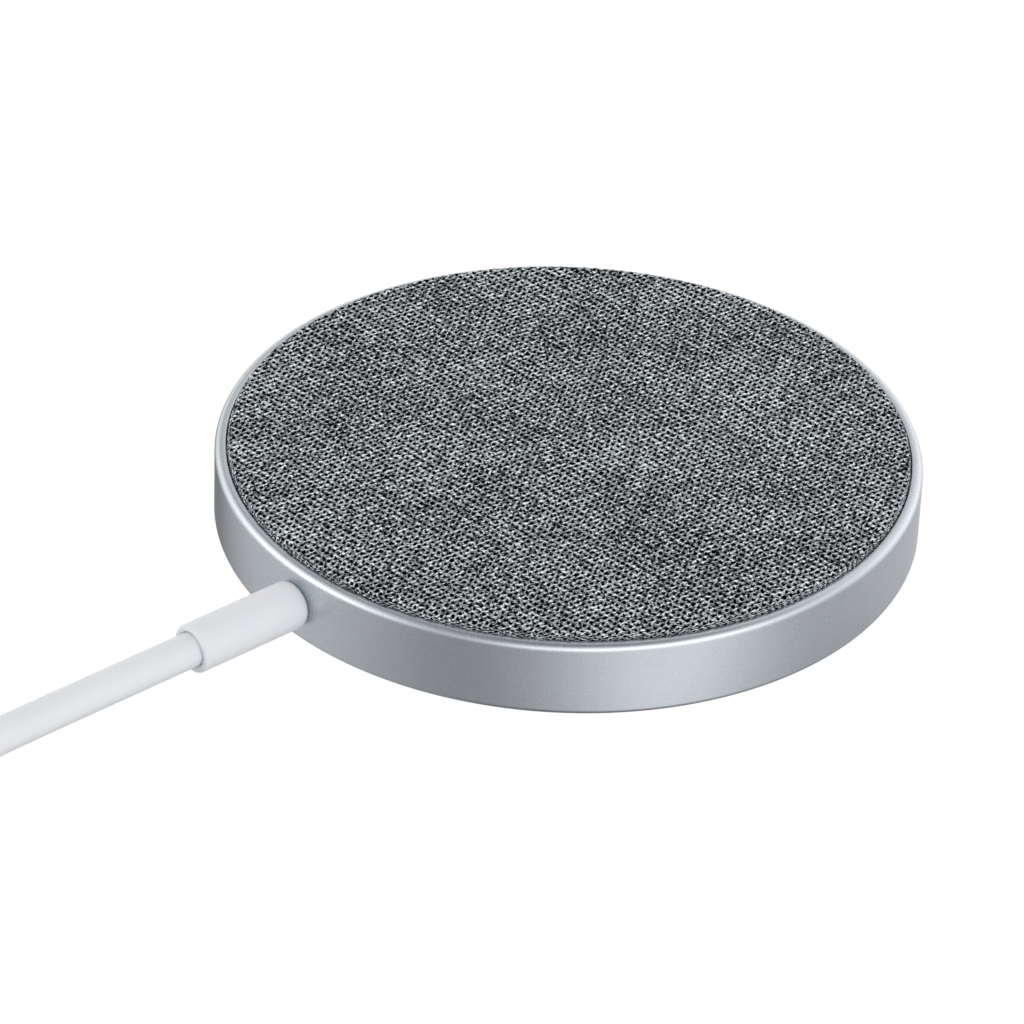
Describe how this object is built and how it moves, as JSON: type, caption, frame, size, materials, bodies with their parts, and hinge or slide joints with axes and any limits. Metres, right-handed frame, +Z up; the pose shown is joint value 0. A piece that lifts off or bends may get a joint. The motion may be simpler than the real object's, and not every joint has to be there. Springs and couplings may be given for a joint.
{
  "type": "wireless charging pad",
  "caption": "Round wireless charging pad with a shallow satin metal cup, a flat grey fabric face, a soft side sleeve and a white cord ending in a plug.",
  "frame": {"origin": "centre of the ring-shaped foot's lowest plane, on the cup's axis", "axes": "+Z up, out of the charging face; -X the way the cord leaves the cup"},
  "size_m": [0.1349, 0.0781, 0.0071],
  "materials": {
    "metal_cup": "fine bead-blasted satin, anodised silver",
    "cloth": "grey melange, open plain weave",
    "cord_white": "soft-touch matte, cool white",
    "grip_white": "semi-gloss moulding",
    "foot_silicone": "matte silicone",
    "tie_strap": "hook-and-loop strap",
    "steel": "bright stamped sheet",
    "magnet": "nickel-plated",
    "copper": "copper",
    "gold": "gold-plated",
    "ferrite": "sintered, dark grey",
    "board": "solder mask",
    "black_chip": "moulded epoxy",
    "ceramic": "ceramic",
    "inner_plastic": "moulded polycarbonate",
    "tip_plastic": "moulded liquid-crystal polymer",
    "amber_film": "thin polyimide film",
    "gap_pad": "soft thermal pad",
    "adhesive": "double-sided film",
    "wire": "insulated wire"
  },
  "bodies": {
    "root": {"housing": "metal_cup", "foot_ring": "foot_silicone", "insulating_film": "amber_film", "thermal_pad": "gap_pad", "controller_board": "board", "controller_chip": "black_chip", "bridge_transistors": "black_chip", "resonant_capacitors": "ceramic", "filter_inductor": "ferrite", "input_capacitors": "ceramic", "sense_resistors": "black_chip", "shield_foil": "copper", "ferrite_plate": "ferrite", "charging_coil": "copper", "coil_leads": "copper", "thermistor": "black_chip", "magnet_yoke": "steel", "magnet_carrier": "inner_plastic", "alignment_magnets": "magnet", "cover_adhesive": "adhesive", "cover_plate": "inner_plastic", "fabric_cover": "cloth", "strain_relief": "cord_white", "power_leads": "wire", "cord_lead": "cord_white", "cord_coil": "cord_white", "cord_tail": "cord_white", "cable_tie": "tie_strap", "plug_sleeve": "cord_white", "plug_housing": "grip_white", "plug_board": "board", "plug_shell": "steel", "plug_insulator": "tip_plastic", "plug_contacts": "gold", "plug_latch": "steel"}
  },
  "joints": []
}
